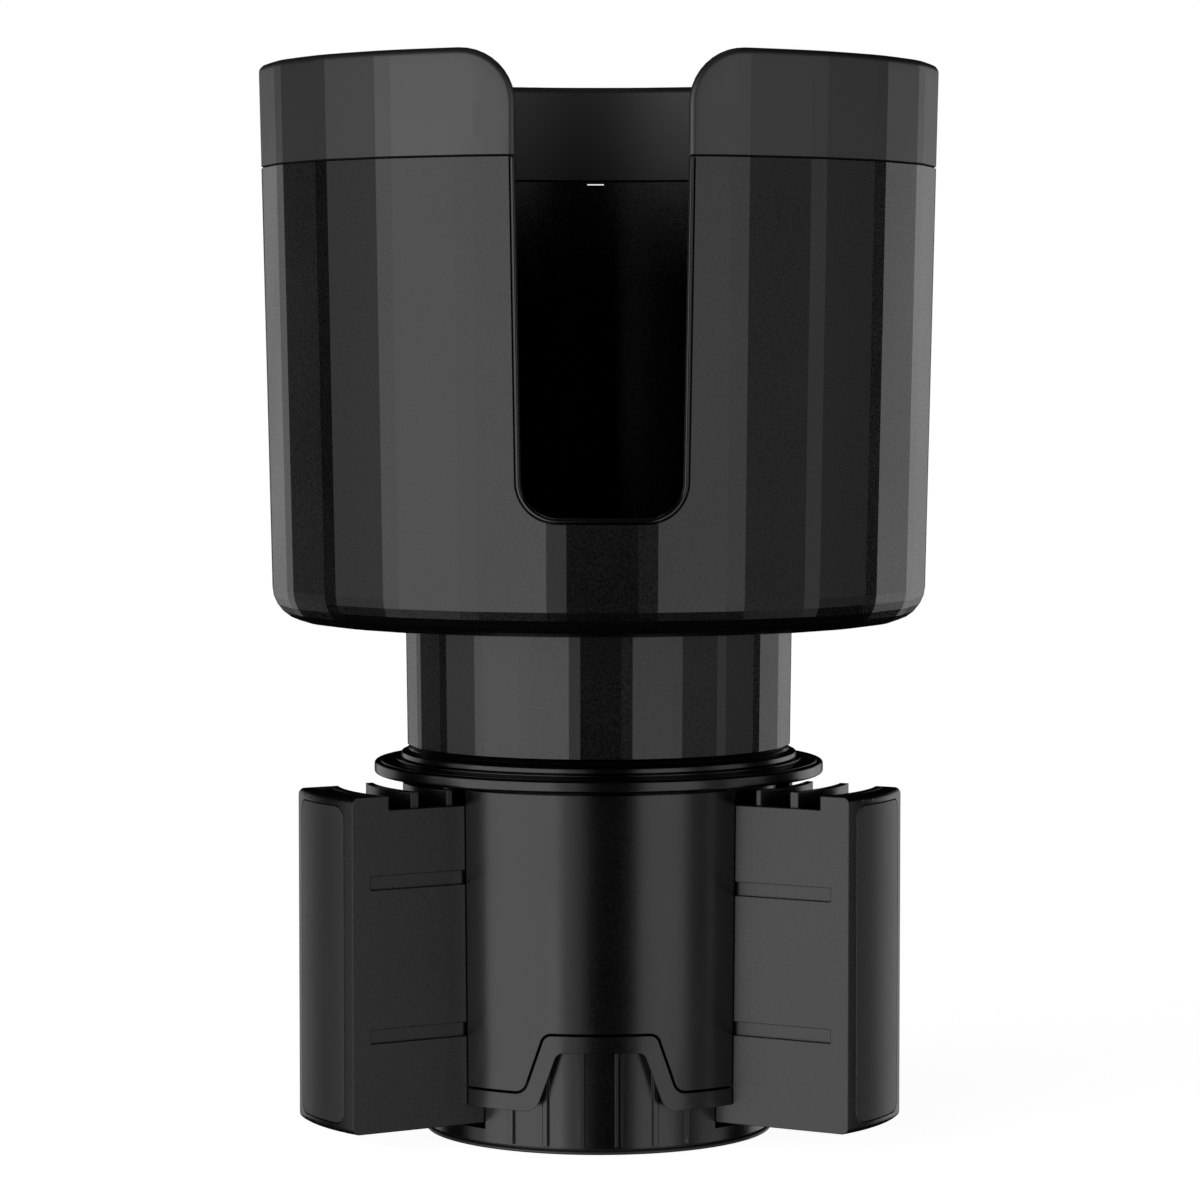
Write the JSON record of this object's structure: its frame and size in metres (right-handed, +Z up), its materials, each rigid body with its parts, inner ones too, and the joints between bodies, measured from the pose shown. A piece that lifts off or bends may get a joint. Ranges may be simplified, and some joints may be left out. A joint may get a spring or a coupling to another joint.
{
  "type": "car cup holder",
  "caption": "Wide faceted cup with a handle slot on a base whose jaws spread inside a car's cup holder when the cup is turned",
  "frame": {"origin": "on the cup's and the base's shared axis, at the underside of the foot pad", "axes": "+Z up along the axis of the cup, the neck and the base; -Y towards the handle slot; +X to the right as seen from the slot"},
  "size_m": [0.1088, 0.1072, 0.1715],
  "materials": {
    "textured_plastic": "fine grained black",
    "satin_plastic": "smooth satin black",
    "base_plastic": "smooth satin black",
    "grip_rubber": "soft matt black",
    "screw_steel": "zinc plated"
  },
  "bodies": {
    "base": {"base_housing": "base_plastic", "slide_floor": "base_plastic", "base_shoe": "base_plastic", "shoe_screws": "screw_steel", "foot_pad": "grip_rubber", "pivot_washer": "screw_steel", "pivot_screw": "screw_steel"},
    "cup": {"rim_ring": "satin_plastic", "cup_shell": "textured_plastic", "slot_trim": "satin_plastic", "cup_screws": "screw_steel", "neck": "textured_plastic", "collar": "satin_plastic", "scroll_disc": "satin_plastic", "neck_screws": "screw_steel"},
    "left_jaw": {"jaw_left": "base_plastic", "pad_left": "grip_rubber"},
    "right_jaw": {"jaw_right": "base_plastic", "pad_right": "grip_rubber"},
    "rear_jaw": {"jaw_rear": "base_plastic", "pad_rear": "grip_rubber"}
  },
  "joints": [
    {"name": "cup_turn", "type": "hinge", "parent": "base", "child": "cup", "pos_m": [0, 0, 0.0578], "axis": [0, 0, 1], "range_deg": [0, 990]},
    {"name": "left_slide", "type": "slide", "parent": "base", "child": "left_jaw", "axis": [-0.866, -0.5, 0], "range_m": [-0.0165, 0]},
    {"name": "right_slide", "type": "slide", "parent": "base", "child": "right_jaw", "axis": [0.866, -0.5, 0], "range_m": [-0.0165, 0]},
    {"name": "rear_slide", "type": "slide", "parent": "base", "child": "rear_jaw", "axis": [0, 1, 0], "range_m": [-0.0165, 0]}
  ],
  "couplings": [
    {"joint": "left_slide", "follows": "cup_turn", "m_per_rad": -0.00095493},
    {"joint": "right_slide", "follows": "cup_turn", "m_per_rad": -0.00095493},
    {"joint": "rear_slide", "follows": "cup_turn", "m_per_rad": -0.00095493}
  ]
}
